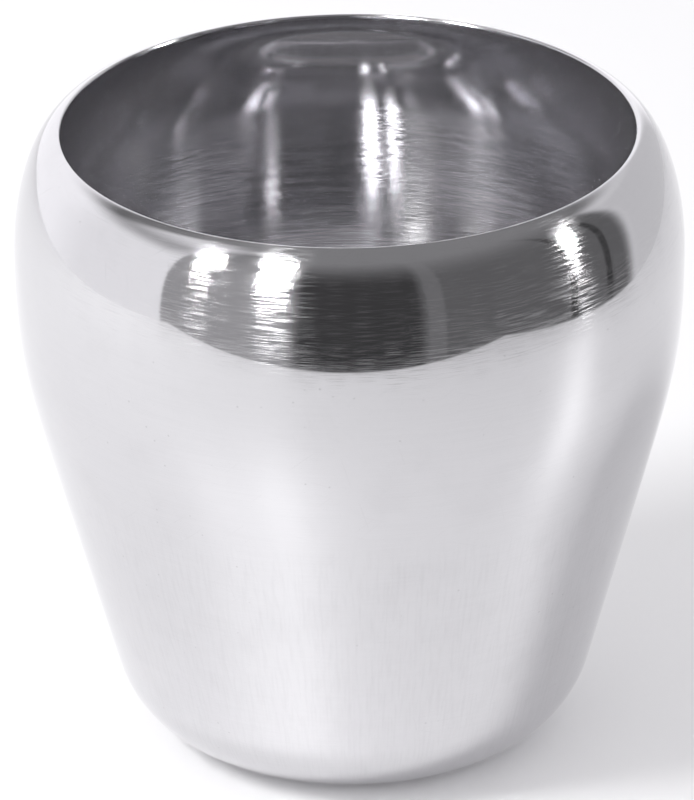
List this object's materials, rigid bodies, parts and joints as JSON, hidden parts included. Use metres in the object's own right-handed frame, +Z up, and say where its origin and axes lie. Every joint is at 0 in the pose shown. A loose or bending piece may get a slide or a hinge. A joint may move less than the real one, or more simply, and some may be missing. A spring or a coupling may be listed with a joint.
{
  "type": "shaving mug",
  "caption": "Round stainless steel shaving mug without a handle: wide mouth, rolled-in shoulder and a side that tapers to a flat base. Holds lather while a brush works it up.",
  "frame": {"origin": "centre of the flat underside, on the surface that the mug stands on", "axes": "+Z up along the axis of the turned shape and out of the mouth; the shape is the same all round, so X and Y are free"},
  "size_m": [0.09, 0.09, 0.0875],
  "materials": {
    "stainless_steel": "bright polish outside with very fine turned lines, the same steel with coarser turned brush lines inside"
  },
  "bodies": {
    "root": {"mug_body": "stainless_steel"}
  },
  "joints": []
}
